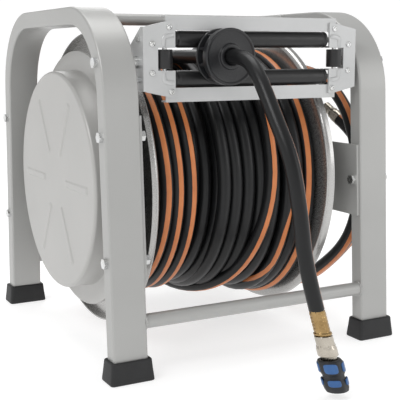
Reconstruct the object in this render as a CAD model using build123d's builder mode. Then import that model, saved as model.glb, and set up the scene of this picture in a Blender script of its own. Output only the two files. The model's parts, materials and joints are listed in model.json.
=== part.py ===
"""Open spring-rewind hose reel on two arched tube frames, with a four-roller hose guide.

Millimetres.  X runs along the drum axis: the spring housing is at -X and the water swivel at +X.
-Y is the front, where the hose comes out through the guide.  Z is up and the floor is z = 0.
"""
import math
import os

from build123d import *

os.makedirs("parts", exist_ok=True)

# ---------------------------------------------------------------- driving dimensions
# Arched frames
frame_width = 460.0  # over the outer faces of the two arches
frame_height = 500.0
leg_spread = 486.0  # over the outer edges of the legs, at the floor
leg_lean = 3.0  # degrees, each leg inwards
bend_radius = 125.0  # outer radius of the arch's two bends
tube_width = 50.0
tube_depth = 25.0
tube_wall = 2.0
tube_corner = 3.0

# Rubber feet
foot_height = 30.5
foot_floor = 5.0  # rubber below the tube's end
foot_margin_x = 7.0
foot_margin_y = 6.5
foot_taper = 3.0
foot_corner = 4.0

# Cross bars
bar_diameter = 20.0
top_bar_diameter = 18.0
bar_wall = 2.0
lower_bar_z = 78.0

# Plates that carry the drum
plate_thickness = 4.0
plate_edge = 4.0  # from the leg's outer edge to the plate's
mount_plate_low = 135.0
mount_plate_high = 355.0
mount_bolt_heights = (162.0, 328.0)
hub_plate_low = 192.0
hub_plate_high = 299.0

# Drum
axle_z = 246.0
drum_right_gap = 54.0  # from the right flange's inner face to the arch
flange_radius = 222.0
flange_sheet = 2.0
flange_lip = 12.0
core_radius = 142.0
core_wall = 2.0
shaft_diameter = 25.0
shaft_bore = 12.0
hub_radius = 45.0
hub_width = 12.0
running_fit = 0.05  # radial
pipe_diameter = 18.0
pipe_from_flange = 12.0
tie_bolt_count = 6
tie_bolt_inset = 24.0  # inside the core
pipe_seat = 1.0  # depth of the pipe's end in the shaft

# Bearings
bearing_radius = 20.0
bearing_flange_radius = 28.0
bearing_flange = 4.0
bearing_proud = 3.0  # past the plate's outer face

# Spring housing
case_radius = 194.0
case_face_radius = 164.0
case_depth = 41.5
case_sheet = 2.0
case_rim_radius = 5.0
emboss_height = 1.5
emboss_inner = 47.0
emboss_outer = 134.0
emboss_width = 8.5
emboss_count = 6
emboss_corner = 3.0
arbor_radius = 22.0
spring_strip = 1.6
spring_turns = 11
spring_outer = 152.0
spring_side_gap = 2.5

# Ratchet
ratchet_tip_radius = 62.0
ratchet_root_radius = 54.0
ratchet_teeth = 12
ratchet_width = 6.0
ratchet_gap = 2.0  # between the bearing's flange and the wheel
tooth_face = 4.0  # from a tooth's radius to its steep face
tooth_length = 18.0
pawl_pin_y = 46.0
pawl_pin_above = 80.0  # above the axle
pawl_pin_radius = 4.0
pawl_boss = 9.0
pawl_tip_gap = 1.0
pawl_tip_y = 9.5
pawl_tip_width = 2.0
pawl_tip_height = 14.0
pawl_side_gap = 0.3
pawl_back_inset = 1.5
pawl_front_inset = 1.0
clip_thickness = 1.5
clip_margin = 2.0
spring_coil_gap = 0.5
spring_coil_width = 2.5
spring_leg = (26.0, 1.8)
spring_leg_centre = (14.0, 5.5)  # from the pin

# Hose
hose_diameter = 20.0
pack_side_gap = 2.0
pack_radius = 196.0
groove_left_of_lead = 16.0
groove_right_of_lead = 14.0
groove_gap = 1.0  # under the lead
slack_left = 45.0
slack_radius = 200.0
slack_sag = 8.0
lead_x = -57.0
lead_z = 431.0

# Hose guide
guide_gap = 8.0  # between the guide and an arch
guide_sheet = 3.0
guide_side_sheet = 2.0
guide_drop = 72.0  # from the arches' tops to the slot's middle
guide_end_half_height = 42.0
guide_half_height = 50.5
guide_chamfer_x = 40.0
guide_corner = 6.0
slot_end_inset = 47.0  # from the guide's outer face to the slot
slot_half_height = 38.0
guide_depth = 40.0
side_plate_top_setback = 8.0
side_plate_bottom_setback = 16.0
rail_half_height = 57.0
rail_past_slot = 13.0
rail_sheet = 2.0
rail_return = 14.0
roller_radius = 11.5
roller_end_gap = 1.0  # between a roller's end and the slot's
roller_setback = 13.0  # from the guide's front face to the roller's axis
roller_axle_radius = 4.0
roller_chamfer = 0.8
axle_overhang = 3.0
side_roller_radius = 11.0
side_roller_length = 26.0
side_roller_past_slot = 13.0
side_roller_setback = 7.0
side_axle_radius = 3.0
side_axle_overhang = 1.0
side_roller_gap = 2.0
tab_sunk = 2.0  # how far the tabs run into the front sheet
window_extra = 12.0  # the windows open into the slot by this much
window_gap = 1.5
tab_thickness = 2.5
tab_depth = 14.0
guide_bolt_inset = 21.28  # from the leg's outer edge at the bolt's height
guide_bolt_setback = 20.5
guide_bolt_below = 4.0  # below the slot's middle

# Stopper on the hose
stopper_radius = 38.0
stopper_hub_radius = 24.0
stopper_bevel = 3.0
stopper_back = -219.0
rear_disc = -224.0  # front of the rear part's disc
front_disc = -239.0  # back of the front part's disc
stopper_front_y = -250.0
stopper_joint = -228.75  # between its two parts
collar_radius = 14.0
collar_groove = 2.0
collar_length = 3.0

# Fasteners
bolt_radius = 4.0
bolt_clearance = 0.25
bolt_head_flats = 13.0
bolt_head = 5.3
nut_height = 6.5
screw_radius = 2.0
screw_head_radius = 4.2
screw_head = 2.2
screw_socket_radius = 1.6
screw_socket_depth = 1.2
spacer_radius = 8.0

# Swivel on the right end of the shaft
swivel_radius = 24.0
swivel_length = 34.0
swivel_gap = 1.0
swivel_end_wall = 7.0
shaft_end_gap = 1.0
seal_radius = 17.0
seal_offset = 5.0
seal_width = 4.0
port_from_face = 15.0
port_length = 34.0
port_radius = 11.0
port_bore = 6.0
port_wall = 4.0

# Coupling on the end of the hose: lengths are measured from the ferrule's start
crimp_grip = 0.2  # ferrule over the hose, radial
ferrule_length = 34.0
ferrule_swell = 0.8
ferrule_rim = 3.0
coupling_radius = 12.0
coupling_collar_radius = 13.5
coupling_collar_start = 18.0
coupling_core_radius = 10.5
coupling_bore = 8.0
coupling_bore_depth = 37.0
coupling_body_length = 33.0
sleeve_length = 45.0
sleeve_travel = 4.0
sleeve_clearance = 0.6
lobe_radius = 17.0
waist_radius = 14.2
rear_lobe = (4.0, 17.0)  # start and end of the full radius, from the sleeve's start
waist = (22.0, 25.0)
front_lobe = (30.0, 39.0)
lobe_bevel = 1.5
nose_bevel = 2.0
coupling_seal_radius = 6.5
coupling_seal_offset = 14.0
coupling_seal_width = 3.0

# Fittings of the supply hose
tail_length = 10.0
tail_grip = 1.0
fitting_grip = 0.5
fitting_sleeve = 14.0
fitting_neck_radius = 8.0
fitting_barb_radius = 9.5
fitting_barb = (16.0, 20.0, 22.0, 28.0)  # neck, barb's foot, barb's top, barb's end
fitting_length = 44.0
fitting_bore = 4.0
fitting_bore_depth = 34.0

# ---------------------------------------------------------------- derived places
side_x = frame_width / 2  # outer face of an arch
inner_x = side_x - tube_width  # inner face of an arch
lean = math.tan(math.radians(leg_lean))
lean_cos = math.cos(math.radians(leg_lean))
plate_inner = inner_x - plate_thickness
wheel_x = -(plate_inner - bearing_flange - ratchet_gap)
left_hub_x = wheel_x + ratchet_width
drum_left = left_hub_x + hub_width + flange_sheet  # inner face of the left flange
drum_right = inner_x - drum_right_gap  # inner face of the right flange
right_hub_x = drum_right + flange_sheet
pipe_x = drum_left + pipe_from_flange
pawl_pin_z = axle_z + pawl_pin_above
case_face = -inner_x - case_depth
guide_half_width = inner_x - guide_gap
slot_half_length = guide_half_width - slot_end_inset
rail_half_length = slot_half_length + rail_past_slot
roller_half_length = slot_half_length - roller_end_gap
side_roller_x = slot_half_length + side_roller_past_slot
guide_centre_z = frame_height - guide_drop
guide_bolt_z = guide_centre_z - guide_bolt_below
drum_plane = Plane(origin=(0, 0, axle_z), x_dir=(1, 0, 0), z_dir=(0, -1, 0))
drum_axis = Axis((0, 0, axle_z), (1, 0, 0))


def leg_outer(z):
    """Distance from the middle to a leg's outer edge at height z."""
    return leg_spread / 2 - lean * z


def leg_centre(z):
    """Distance from the middle to a leg's centreline at height z."""
    return leg_outer(z) - tube_depth / 2 / lean_cos


def arch_outline(inset, foot):
    """Face of the arch's outline, moved inwards by inset, from height foot to its top."""
    half = leg_spread / 2 - inset / lean_cos
    top = frame_height - inset
    with BuildSketch(mode=Mode.PRIVATE) as outline:
        with BuildLine():
            corners = [
                (-(half - lean * foot), foot),
                (-(half - lean * top), top),
                (half - lean * top, top),
                (half - lean * foot, foot),
            ]
            Polyline(*corners, close=True)
        make_face()
        fillet(outline.vertices().group_by(Axis.Y)[-1], bend_radius - inset)
    return outline.sketch


def arch_section(outer_inset, inner_inset, foot):
    """Face of the arch between two insets, open at the bottom."""
    return arch_outline(outer_inset, foot) - arch_outline(inner_inset, foot - 1)


def solid_arch(x_start, amount, outer_inset, inner_inset, foot):
    """Arch-shaped solid along X, for a frame, its hollow, or the socket of a foot."""
    with BuildPart(mode=Mode.PRIVATE) as arch:
        with BuildSketch(Plane.YZ.offset(x_start)):
            add(arch_section(outer_inset, inner_inset, foot))
        extrude(amount=amount)
    return arch.part


def rounded_arch(x_start):
    """Outside of one arch's tube, with its long edges rounded."""
    with BuildPart(mode=Mode.PRIVATE) as arch:
        add(solid_arch(x_start, tube_width, 0, tube_depth, foot_floor))
        flats = arch.faces().filter_by(Axis.X).edges()
        long_edges = [e for e in flats if e.center().Z > foot_floor + 1]
        fillet(long_edges, tube_corner)
    return arch.part


def discs(x_start, radius, places):
    """Sketch of equal circles at the given (y, z) places, on the plane x = x_start."""
    with BuildSketch(Plane.YZ.offset(x_start), mode=Mode.PRIVATE) as circles:
        with Locations(*places):
            Circle(radius)
    return circles.sketch


def drill(x_start, amount, radius, places):
    """Cut round holes along X at the given (y, z) places."""
    extrude(discs(x_start, radius, places), amount=amount, mode=Mode.SUBTRACT)


def turn(points, plane=drum_plane, axis=drum_axis, mode=Mode.ADD):
    """Turn the closed outline through points about axis."""
    with BuildSketch(plane, mode=Mode.PRIVATE) as outline:
        with BuildLine():
            Polyline(*points, close=True)
        make_face()
    revolve(outline.sketch, axis=axis, mode=mode)


def finish(builder, name):
    """Label a finished piece and write it."""
    builder.part.label = name
    export_step(builder.part, f"parts/{name}.step")


guide_bolt_y = -(leg_outer(guide_bolt_z) - guide_bolt_inset)
guide_bolt_place = (guide_bolt_y, guide_bolt_z)
guide_front = guide_bolt_y - guide_bolt_setback
roller_y = guide_front + roller_setback
side_roller_y = guide_front + side_roller_setback
mount_bolt_places = [
    (side * leg_centre(z), z) for side in (-1, 1) for z in mount_bolt_heights
]
hub_bolt_places = [(side * leg_centre(axle_z), axle_z) for side in (-1, 1)]

# ---------------------------------------------------------------- arched frames
for frame_name, frame_x, frame_places in (
    ("left_frame", -side_x, [*mount_bolt_places, guide_bolt_place]),
    ("right_frame", inner_x, [*hub_bolt_places, guide_bolt_place]),
):
    with BuildPart() as frame_tube:
        add(rounded_arch(frame_x))
        hollow = solid_arch(
            frame_x + tube_wall,
            tube_width - 2 * tube_wall,
            tube_wall,
            tube_depth - tube_wall,
            foot_floor - 2,
        )
        add(hollow, mode=Mode.SUBTRACT)
        drill(frame_x, tube_width, bolt_radius + bolt_clearance, frame_places)
    finish(frame_tube, frame_name)

# ---------------------------------------------------------------- rubber feet
foot_y = leg_centre(foot_height / 2)
for end_name, y_side in (("front", -1), ("rear", 1)):
    for side_name, foot_x in (("left", -side_x), ("right", inner_x)):
        with BuildPart() as foot:
            for height, narrower in ((0, 0), (foot_height, foot_taper)):
                with BuildSketch(Plane.XY.offset(height)):
                    with Locations((foot_x + tube_width / 2, y_side * foot_y)):
                        RectangleRounded(
                            tube_width + 2 * (foot_margin_x - narrower),
                            tube_depth + 2 * (foot_margin_y - narrower),
                            foot_corner,
                        )
            loft()
            add(rounded_arch(foot_x), mode=Mode.SUBTRACT)
        finish(foot, f"foot_{end_name}_{side_name}")

# ---------------------------------------------------------------- cross bars
lower_bar_y = leg_outer(lower_bar_z) - bar_diameter / 2
for bar_name, bar_y, bar_z, diameter in (
    ("front_lower_bar", -lower_bar_y, lower_bar_z, bar_diameter),
    ("rear_lower_bar", lower_bar_y, lower_bar_z, bar_diameter),
    ("top_bar", 0, frame_height - tube_depth / 2, top_bar_diameter),
):
    with BuildPart() as bar:
        with BuildSketch(Plane.YZ.offset(-inner_x)):
            with Locations((bar_y, bar_z)):
                Circle(diameter / 2)
                Circle(diameter / 2 - bar_wall, mode=Mode.SUBTRACT)
        extrude(amount=2 * inner_x)
    finish(bar, bar_name)


# ---------------------------------------------------------------- plates that carry the drum
def plate_outline(low, high):
    """Four corners of a plate that spans both legs between two heights."""
    return [
        (-(leg_outer(low) - plate_edge), low),
        (-(leg_outer(high) - plate_edge), high),
        (leg_outer(high) - plate_edge, high),
        (leg_outer(low) - plate_edge, low),
    ]


for plate_name, plate_x, low, high, plate_places in (
    ("left_mount_plate", -inner_x, mount_plate_low, mount_plate_high, mount_bolt_places),
    ("right_hub_plate", plate_inner, hub_plate_low, hub_plate_high, hub_bolt_places),
):
    with BuildPart() as plate:
        with BuildSketch(Plane.YZ.offset(plate_x)):
            with BuildLine():
                Polyline(*plate_outline(low, high), close=True)
            make_face()
            with Locations((0, axle_z)):
                Circle(bearing_radius, mode=Mode.SUBTRACT)
            with Locations(*plate_places):
                Circle(bolt_radius + bolt_clearance, mode=Mode.SUBTRACT)
            if plate_name == "left_mount_plate":
                with Locations((pawl_pin_y, pawl_pin_z)):
                    Circle(pawl_pin_radius, mode=Mode.SUBTRACT)
        extrude(amount=plate_thickness)
    finish(plate, plate_name)

# ---------------------------------------------------------------- bearings
bearing_bore = shaft_diameter / 2 + running_fit
for bearing_name, mirror_x in (("left_bearing", -1), ("right_bearing", 1)):
    with BuildPart() as bearing:
        turn(
            [
                (mirror_x * (plate_inner - bearing_flange), bearing_bore),
                (mirror_x * (plate_inner - bearing_flange), bearing_flange_radius),
                (mirror_x * plate_inner, bearing_flange_radius),
                (mirror_x * plate_inner, bearing_radius),
                (mirror_x * (inner_x + bearing_proud), bearing_radius),
                (mirror_x * (inner_x + bearing_proud), bearing_bore),
            ]
        )
    finish(bearing, bearing_name)

# ---------------------------------------------------------------- spring housing
case_back_outer = -inner_x - case_sheet
with BuildPart() as case_back:
    turn(
        [
            (-inner_x, bearing_radius),
            (-inner_x, case_radius),
            (case_back_outer, case_radius),
            (case_back_outer, bearing_radius),
        ]
    )
finish(case_back, "spring_case_back")

wall_foot = case_back_outer - case_sheet
with BuildPart() as case_cover:
    turn(
        [
            (case_face, 0),
            (case_face, case_face_radius),
            (wall_foot, case_face_radius),
            (wall_foot, case_radius),
            (case_back_outer, case_radius),
            (case_back_outer, case_face_radius - case_sheet),
            (case_face + case_sheet, case_face_radius - case_sheet),
            (case_face + case_sheet, 0),
        ]
    )
    rims = case_cover.edges().filter_by(GeomType.CIRCLE)
    front_rim = [e for e in rims if abs(e.center().X - case_face) < 0.1]
    inner_rim = [e for e in rims if abs(e.center().X - case_face - case_sheet) < 0.1]
    fillet(front_rim, case_rim_radius)
    fillet(inner_rim, case_rim_radius - case_sheet)
    with BuildSketch(Plane.YZ.offset(case_face)):
        with Locations((0, axle_z)):
            with PolarLocations((emboss_inner + emboss_outer) / 2, emboss_count):
                RectangleRounded(emboss_outer - emboss_inner, emboss_width, emboss_corner)
    extrude(amount=-emboss_height)
finish(case_cover, "spring_case_cover")

with BuildPart() as mainspring:
    pitch = (spring_outer - arbor_radius - 3 * spring_strip) / spring_turns
    with BuildSketch(Plane.YZ.offset(case_face + case_sheet + spring_side_gap)):
        with BuildLine() as spiral:
            radius = arbor_radius + 2 * spring_strip
            centre = 0.0
            for half_turn in range(2 * spring_turns):
                start = 0 if half_turn % 2 == 0 else 180
                for strip_side in (-1, 1):
                    arc_radius = radius + strip_side * spring_strip / 2
                    CenterArc((centre, axle_z), arc_radius, start, 180)
                if half_turn == 0:
                    Line(
                        (centre + radius - spring_strip / 2, axle_z),
                        (centre + radius + spring_strip / 2, axle_z),
                    )
                step = pitch / 2
                if half_turn == 2 * spring_turns - 1:
                    Line(
                        (centre + radius - spring_strip / 2, axle_z),
                        (centre + radius + spring_strip / 2, axle_z),
                    )
                centre += step if half_turn % 2 == 0 else -step
                radius += step
        make_face()
    extrude(amount=case_depth - 2 * case_sheet - 2 * spring_side_gap)
finish(mainspring, "mainspring")

# ---------------------------------------------------------------- drum
tie_circle = core_radius - tie_bolt_inset
tie_angles = [2 * math.pi * n / tie_bolt_count for n in range(tie_bolt_count)]
tie_bolt_places = [
    (tie_circle * math.cos(a), axle_z + tie_circle * math.sin(a)) for a in tie_angles
]

with BuildPart() as drum_core:
    with BuildSketch(Plane.YZ.offset(drum_left)):
        with Locations((0, axle_z)):
            Circle(core_radius)
            Circle(core_radius - core_wall, mode=Mode.SUBTRACT)
    extrude(amount=drum_right - drum_left)
    with BuildSketch(Plane.XY.offset(axle_z)):
        with Locations((pipe_x, 0)):
            Circle(pipe_diameter / 2 + bolt_clearance)
    extrude(amount=core_radius + 1, mode=Mode.SUBTRACT)
finish(drum_core, "drum_core")

for flange_name, inside, outward in (
    ("left_flange", drum_left, -1),
    ("right_flange", drum_right, 1),
):
    outside = inside + outward * flange_sheet
    lip_end = inside + outward * flange_lip
    with BuildPart() as flange:
        turn(
            [
                (inside, shaft_diameter / 2),
                (inside, flange_radius),
                (lip_end, flange_radius),
                (lip_end, flange_radius - flange_sheet),
                (outside, flange_radius - flange_sheet),
                (outside, shaft_diameter / 2),
            ]
        )
        rims = flange.edges().filter_by(GeomType.CIRCLE)
        rolled = [e for e in rims if abs(e.center().X - inside) < 0.1 and e.radius > core_radius]
        fillet(rolled, flange_lip / 2)
        drill(inside, outward * flange_sheet, bolt_radius + bolt_clearance, tie_bolt_places)
    finish(flange, flange_name)

for hub_name, hub_x in (("left_hub", left_hub_x), ("right_hub", right_hub_x)):
    with BuildPart() as hub:
        with BuildSketch(Plane.YZ.offset(hub_x)):
            with Locations((0, axle_z)):
                Circle(hub_radius)
                Circle(shaft_diameter / 2, mode=Mode.SUBTRACT)
        extrude(amount=hub_width)
        chamfer(hub.edges().filter_by(GeomType.CIRCLE).sort_by(SortBy.RADIUS)[-2:], 1)
    finish(hub, hub_name)

shaft_left = case_face + case_sheet + spring_side_gap
swivel_x = inner_x + bearing_proud + swivel_gap
shaft_right = swivel_x + swivel_length - swivel_end_wall - shaft_end_gap
with BuildPart() as drum_shaft:
    turn(
        [
            (shaft_left, 0),
            (shaft_left, shaft_diameter / 2),
            (shaft_right, shaft_diameter / 2),
            (shaft_right, shaft_bore / 2),
            (pipe_x - shaft_bore / 2, shaft_bore / 2),
            (pipe_x - shaft_bore / 2, 0),
        ]
    )
    with BuildSketch(Plane.XY.offset(axle_z)):
        with Locations((pipe_x, 0)):
            Circle(shaft_bore / 2)
    extrude(amount=shaft_diameter, mode=Mode.SUBTRACT)
    with BuildSketch(Plane.XY.offset(axle_z + shaft_diameter / 2 - pipe_seat)):
        with Locations((pipe_x, 0)):
            Circle(pipe_diameter / 2)
    extrude(amount=pipe_seat, mode=Mode.SUBTRACT)
finish(drum_shaft, "drum_shaft")

with BuildPart() as inlet_pipe:
    with BuildSketch(Plane.XY.offset(axle_z + shaft_diameter / 2 - pipe_seat)):
        with Locations((pipe_x, 0)):
            Circle(pipe_diameter / 2)
            Circle(shaft_bore / 2, mode=Mode.SUBTRACT)
    extrude(amount=core_radius - shaft_diameter / 2)
finish(inlet_pipe, "inlet_pipe")

with BuildPart() as spring_arbor:
    with BuildSketch(Plane.YZ.offset(shaft_left)):
        with Locations((0, axle_z)):
            Circle(arbor_radius)
            Circle(shaft_diameter / 2, mode=Mode.SUBTRACT)
    extrude(amount=case_depth - 2 * case_sheet - 2 * spring_side_gap)
finish(spring_arbor, "spring_arbor")

with BuildPart() as ratchet_wheel:
    with BuildSketch(Plane.YZ.offset(wheel_x)):
        with Locations((0, axle_z)):
            Circle(ratchet_root_radius)
            with PolarLocations(0, ratchet_teeth):
                Polygon(
                    (ratchet_root_radius - 3, -tooth_face),
                    (ratchet_tip_radius, -tooth_face),
                    (ratchet_root_radius - 1, tooth_length - tooth_face),
                    align=None,
                )
            Circle(shaft_diameter / 2, mode=Mode.SUBTRACT)
    extrude(amount=ratchet_width)
finish(ratchet_wheel, "ratchet_wheel")

tie_left = drum_left - flange_sheet
tie_right = drum_right + flange_sheet
with BuildPart() as tie_bolts:
    extrude(discs(tie_left, bolt_radius, tie_bolt_places), amount=tie_right - tie_left)
    for head_x, head_amount in ((tie_left, -bolt_head), (tie_right, nut_height)):
        with BuildSketch(Plane.YZ.offset(head_x)):
            with Locations(*tie_bolt_places):
                RegularPolygon(bolt_head_flats / 2, 6, major_radius=False)
        extrude(amount=head_amount)
finish(tie_bolts, "tie_bolts")

# ---------------------------------------------------------------- pawl
with BuildPart() as pawl_pin:
    with BuildSketch(Plane.YZ.offset(-inner_x)):
        with Locations((pawl_pin_y, pawl_pin_z)):
            Circle(pawl_pin_radius)
    extrude(amount=left_hub_x + inner_x + pawl_side_gap)
    with BuildSketch(Plane.YZ.offset(left_hub_x + pawl_side_gap)):
        with Locations((pawl_pin_y, pawl_pin_z)):
            Circle(pawl_pin_radius + clip_margin)
    extrude(amount=clip_thickness)
finish(pawl_pin, "pawl_pin")

pawl_tip_z = axle_z + math.sqrt((ratchet_root_radius + pawl_tip_gap) ** 2 - pawl_tip_y**2)
with BuildPart() as pawl:
    with BuildSketch(Plane.YZ.offset(wheel_x)):
        with Locations((pawl_pin_y, pawl_pin_z)):
            Circle(pawl_boss)
        Polygon(
            (pawl_pin_y - pawl_boss / 2, pawl_pin_z + pawl_boss - pawl_back_inset),
            (pawl_tip_y + pawl_tip_width, pawl_tip_z + pawl_tip_height),
            (pawl_tip_y, pawl_tip_z),
            (pawl_pin_y - pawl_boss / 4, pawl_pin_z - pawl_boss + pawl_front_inset),
            align=None,
        )
        with Locations((pawl_pin_y, pawl_pin_z)):
            Circle(pawl_pin_radius + running_fit, mode=Mode.SUBTRACT)
    extrude(amount=ratchet_width)
finish(pawl, "pawl")

with BuildPart() as pawl_spring:
    with BuildSketch(Plane.YZ.offset(-plate_inner)):
        with Locations((pawl_pin_y, pawl_pin_z)):
            Circle(pawl_pin_radius + spring_coil_gap + spring_coil_width)
            Circle(pawl_pin_radius + spring_coil_gap, mode=Mode.SUBTRACT)
        with Locations((pawl_pin_y + spring_leg_centre[0], pawl_pin_z + spring_leg_centre[1])):
            Rectangle(*spring_leg)
    extrude(amount=bearing_flange)
finish(pawl_spring, "pawl_spring")

# ---------------------------------------------------------------- fasteners of the frames
with BuildPart() as frame_bolts:
    for head_x, outward, places, grip in (
        (-side_x, 1, mount_bolt_places, tube_width + plate_thickness + nut_height),
        (side_x, -1, hub_bolt_places, tube_width + plate_thickness + nut_height),
    ):
        extrude(discs(head_x, bolt_radius, places), amount=outward * grip)
        with BuildSketch(Plane.YZ.offset(head_x)):
            with Locations(*places):
                RegularPolygon(bolt_head_flats / 2, 6, major_radius=False)
        extrude(amount=-outward * bolt_head)
    guide_grip = side_x - guide_half_width + guide_side_sheet + nut_height
    for head_x, outward in ((-side_x, 1), (side_x, -1)):
        extrude(discs(head_x, bolt_radius, [guide_bolt_place]), amount=outward * guide_grip)
        with BuildSketch(Plane.YZ.offset(head_x)):
            with Locations(guide_bolt_place):
                RegularPolygon(bolt_head_flats / 2, 6, major_radius=False)
        extrude(amount=-outward * bolt_head)
finish(frame_bolts, "frame_bolts")

with BuildPart() as frame_nuts:
    for nut_x, inward, places in (
        (-plate_inner, 1, mount_bolt_places),
        (plate_inner, -1, hub_bolt_places),
        (-guide_half_width + guide_side_sheet, 1, [guide_bolt_place]),
        (guide_half_width - guide_side_sheet, -1, [guide_bolt_place]),
    ):
        with BuildSketch(Plane.YZ.offset(nut_x)):
            with Locations(*places):
                RegularPolygon(bolt_head_flats / 2, 6, major_radius=False)
                Circle(bolt_radius, mode=Mode.SUBTRACT)
        extrude(amount=inward * nut_height)
finish(frame_nuts, "frame_nuts")

with BuildPart() as guide_spacers:
    for spacer_x in (-inner_x, guide_half_width):
        with BuildSketch(Plane.YZ.offset(spacer_x)):
            with Locations(guide_bolt_place):
                Circle(spacer_radius)
                Circle(bolt_radius + bolt_clearance, mode=Mode.SUBTRACT)
        extrude(amount=inner_x - guide_half_width)
finish(guide_spacers, "guide_spacers")

# ---------------------------------------------------------------- hose guide
slot_low = guide_centre_z - slot_half_height
slot_high = guide_centre_z + slot_half_height
side_window = side_roller_length / 2 + side_roller_gap
front_plane = Plane(origin=(0, guide_front, 0), x_dir=(1, 0, 0), z_dir=(0, -1, 0))
rail_front = guide_front + guide_sheet
bracket_screws = [
    (slot_half_length + 9, slot_half_height + 4),
    (guide_half_width - 13, 20),
    (guide_half_width - 13, -18),
    (slot_half_length + 6, -slot_half_height - 5),
]
side_plate_corners = [
    (guide_front, guide_centre_z - guide_end_half_height),
    (guide_front, guide_centre_z + guide_end_half_height),
    (guide_front + side_plate_top_setback, guide_centre_z + guide_end_half_height),
    (guide_front + guide_depth, guide_centre_z + guide_depth / 2),
    (guide_front + guide_depth, guide_centre_z - guide_depth / 2 - guide_bolt_below),
    (guide_front + side_plate_bottom_setback, guide_centre_z - guide_end_half_height),
]

for bracket_name, side in (("guide_bracket_left", -1), ("guide_bracket_right", 1)):
    face_x = side * guide_half_width
    roller_x = side * side_roller_x
    with BuildPart() as bracket:
        with BuildSketch(front_plane) as front_face:
            Polygon(
                (face_x, guide_centre_z - guide_end_half_height),
                (face_x, guide_centre_z + guide_end_half_height),
                (face_x - side * guide_chamfer_x, guide_centre_z + guide_half_height),
                (side * slot_half_length, guide_centre_z + guide_half_height),
                (side * slot_half_length, guide_centre_z - guide_half_height),
                (face_x - side * guide_chamfer_x, guide_centre_z - guide_half_height),
                align=None,
            )
            outer_corners = [v for v in front_face.vertices() if abs(v.X) > slot_half_length + 1]
            fillet(outer_corners, guide_corner)
            with Locations((roller_x - side * window_extra / 2, guide_centre_z)):
                window_width = 2 * (side_roller_radius + window_gap) + window_extra
                Rectangle(window_width, 2 * side_window, mode=Mode.SUBTRACT)
            with Locations(*[(side * x, guide_centre_z + z) for x, z in bracket_screws]):
                Circle(screw_radius, mode=Mode.SUBTRACT)
        extrude(amount=-guide_sheet)
        with BuildSketch(Plane.YZ.offset(face_x)):
            Polygon(*side_plate_corners, align=None)
            with Locations(guide_bolt_place):
                Circle(bolt_radius + bolt_clearance, mode=Mode.SUBTRACT)
            for axle_height in (slot_high - roller_radius, slot_low + roller_radius):
                with Locations((roller_y, axle_height)):
                    Circle(roller_axle_radius, mode=Mode.SUBTRACT)
        extrude(amount=-side * guide_side_sheet)
        for tab_z in (side_window, -side_window - tab_thickness):
            with BuildSketch(Plane.XY.offset(guide_centre_z + tab_z)):
                with Locations((roller_x, rail_front - tab_sunk + tab_depth / 2)):
                    Rectangle(2 * side_roller_radius, tab_depth)
                with Locations((roller_x, side_roller_y)):
                    Circle(side_axle_radius, mode=Mode.SUBTRACT)
            extrude(amount=tab_thickness)
    finish(bracket, bracket_name)

for rail_name, up in (("guide_top_rail", 1), ("guide_bottom_rail", -1)):
    rail_edge = guide_centre_z + up * rail_half_height
    rail_mouth = guide_centre_z + up * slot_half_height
    with BuildPart() as rail:
        with BuildSketch(Plane.YZ.offset(-rail_half_length)):
            Polygon(
                (rail_front, rail_mouth),
                (rail_front, rail_edge),
                (rail_front + rail_return, rail_edge),
                (rail_front + rail_return, rail_edge - up * rail_sheet),
                (rail_front + rail_sheet, rail_edge - up * rail_sheet),
                (rail_front + rail_sheet, rail_mouth),
                align=None,
            )
        extrude(amount=2 * rail_half_length)
        screw_z = [z for x, z in bracket_screws if z * up > slot_half_height]
        screw_x = [x for x, z in bracket_screws if z * up > slot_half_height]
        with BuildSketch(front_plane):
            with Locations(*[(s * screw_x[0], guide_centre_z + screw_z[0]) for s in (-1, 1)]):
                Circle(screw_radius)
        extrude(amount=-guide_sheet - rail_sheet, mode=Mode.SUBTRACT)
    finish(rail, rail_name)

with BuildPart() as guide_screws:
    screw_places = [(s * x, guide_centre_z + z) for s in (-1, 1) for x, z in bracket_screws]
    with BuildSketch(front_plane):
        with Locations(*screw_places):
            Circle(screw_radius)
    extrude(amount=-guide_sheet - rail_sheet)
    with BuildSketch(front_plane):
        with Locations(*screw_places):
            Circle(screw_head_radius)
    extrude(amount=screw_head)
    with BuildSketch(front_plane.offset(screw_head)):
        with Locations(*screw_places):
            RegularPolygon(screw_socket_radius, 6)
    extrude(amount=-screw_socket_depth, mode=Mode.SUBTRACT)
finish(guide_screws, "guide_screws")

for roller_name, roller_z in (
    ("top_roller", slot_high - roller_radius),
    ("bottom_roller", slot_low + roller_radius),
):
    with BuildPart() as roller:
        with BuildSketch(Plane.YZ.offset(-roller_half_length)):
            with Locations((roller_y, roller_z)):
                Circle(roller_radius)
                Circle(roller_axle_radius + running_fit, mode=Mode.SUBTRACT)
        extrude(amount=2 * roller_half_length)
        chamfer(roller.edges().filter_by(GeomType.CIRCLE).sort_by(SortBy.RADIUS)[-2:], roller_chamfer)
    finish(roller, roller_name)

for roller_name, side in (("left_side_roller", -1), ("right_side_roller", 1)):
    with BuildPart() as roller:
        with BuildSketch(Plane.XY.offset(guide_centre_z - side_roller_length / 2)):
            with Locations((side * side_roller_x, side_roller_y)):
                Circle(side_roller_radius)
                Circle(side_axle_radius + running_fit, mode=Mode.SUBTRACT)
        extrude(amount=side_roller_length)
        chamfer(roller.edges().filter_by(GeomType.CIRCLE).sort_by(SortBy.RADIUS)[-2:], roller_chamfer)
    finish(roller, roller_name)

with BuildPart() as roller_axles:
    axle_places = [(roller_y, slot_high - roller_radius), (roller_y, slot_low + roller_radius)]
    extrude(
        discs(-guide_half_width - axle_overhang, roller_axle_radius, axle_places),
        amount=2 * (guide_half_width + axle_overhang),
    )
finish(roller_axles, "roller_axles")

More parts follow.
